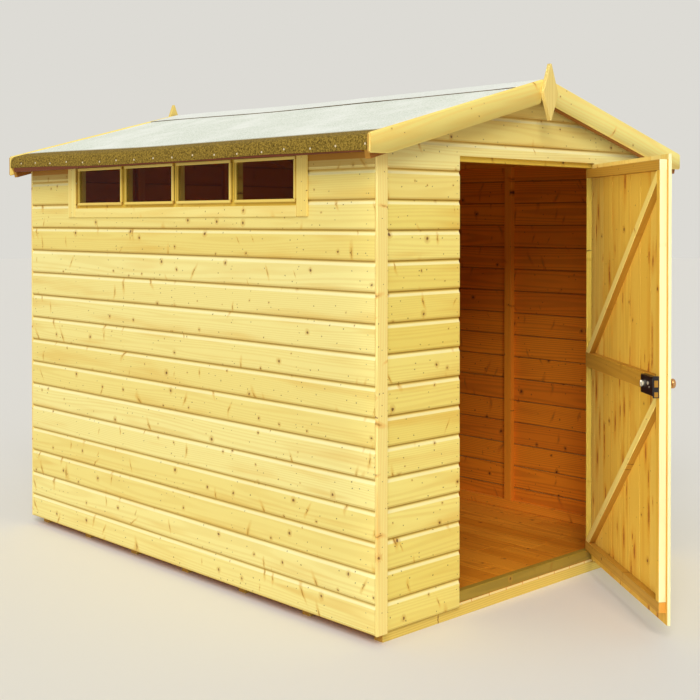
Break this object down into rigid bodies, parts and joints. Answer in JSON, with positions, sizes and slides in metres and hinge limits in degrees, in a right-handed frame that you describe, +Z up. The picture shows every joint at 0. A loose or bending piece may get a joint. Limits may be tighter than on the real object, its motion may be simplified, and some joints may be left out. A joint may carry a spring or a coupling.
{
  "type": "garden shed",
  "caption": "Apex softwood garden shed with lapped horizontal boards, felted pitched roof, a strip of high windows and an outward-opening ledged and braced door.",
  "frame": {"origin": "on the ground, under the middle of the shed's footprint, on the underside of the middle bearer", "axes": "+Z up, +Y from the front gable with the door towards the rear, +X to the right seen from the front"},
  "size_m": [2.014, 3.2268, 2.1686],
  "materials": {
    "boards": "matt dipped softwood",
    "frame_timber": "matt dipped softwood",
    "floor_timber": "matt dipped softwood",
    "door_timber": "matt dipped softwood",
    "felt": "mineral grit",
    "glazing": "clear sheet",
    "brass": "polished, slightly tarnished",
    "black_metal": "black japanned"
  },
  "bodies": {
    "root": {"barge_boards": "boards", "corner_trims": "boards", "door_head_rail": "frame_timber", "eaves_battens": "frame_timber", "finials": "boards", "floor_bearers": "floor_timber", "floor_boards": "floor_timber", "front_boards_gable": "boards", "front_boards_left": "boards", "front_boards_right": "boards", "front_studs": "frame_timber", "gable_bottom_rails": "frame_timber", "hinge_plates": "black_metal", "left_boards_head": "boards", "left_boards_lower": "boards", "left_boards_sides": "boards", "left_studs": "frame_timber", "purlins": "frame_timber", "raking_rails": "frame_timber", "rear_boards": "boards", "rear_studs": "frame_timber", "ridge_beam": "frame_timber", "ridge_cap": "felt", "right_boards": "boards", "right_studs": "frame_timber", "roof_deck_left": "frame_timber", "roof_deck_right": "frame_timber", "roof_felt_left": "felt", "roof_felt_right": "felt", "side_bottom_rails": "frame_timber", "side_top_rails": "frame_timber", "verge_battens": "frame_timber", "window_beads": "boards", "window_panes": "glazing", "window_rails": "frame_timber", "window_side_trims": "boards", "window_sill_trim": "boards"},
    "door": {"door_boards": "door_timber", "door_braces": "door_timber", "door_knob": "brass", "door_ledges": "door_timber", "door_stile": "door_timber", "hinge_straps": "black_metal", "lock_bolts": "brass", "rim_lock": "black_metal"}
  },
  "joints": [
    {"name": "door_hinge", "type": "hinge", "parent": "root", "child": "door", "pos_m": [0.419, -1.2295, 0.925], "axis": [0, 0, 1], "range_deg": [-53, 77]}
  ]
}
